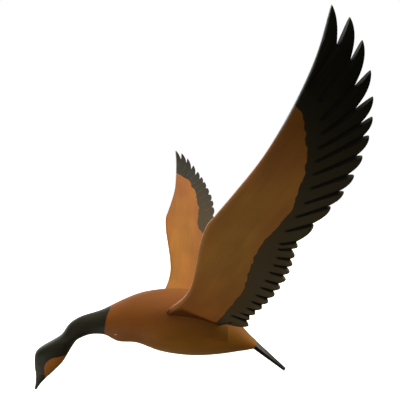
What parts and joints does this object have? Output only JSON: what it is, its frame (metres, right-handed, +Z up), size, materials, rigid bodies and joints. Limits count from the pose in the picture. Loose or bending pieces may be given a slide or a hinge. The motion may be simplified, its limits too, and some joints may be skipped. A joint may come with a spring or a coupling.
{
  "type": "flying goose decoy",
  "caption": "Carved wooden goose in flight, stained brown with dark painted neck, tail and notched flight feathers, wings raised, hung from a flat seat on its back.",
  "frame": {"origin": "centre of the flat hanging seat on the ridge of the back, straight above the centre of mass", "axes": "+Z up, -X towards the bill, +X towards the tail, -Y towards the goose's left wing, +Y towards its right wing"},
  "size_m": [0.6904, 1.3264, 0.7299],
  "materials": {
    "stained_wood": "satin brown stain and varnish",
    "dark_paint": "satin olive-black paint on wood"
  },
  "bodies": {
    "root": {"body": "stained_wood", "left_wing": "stained_wood", "right_wing": "stained_wood", "tail": "dark_paint"}
  },
  "joints": []
}
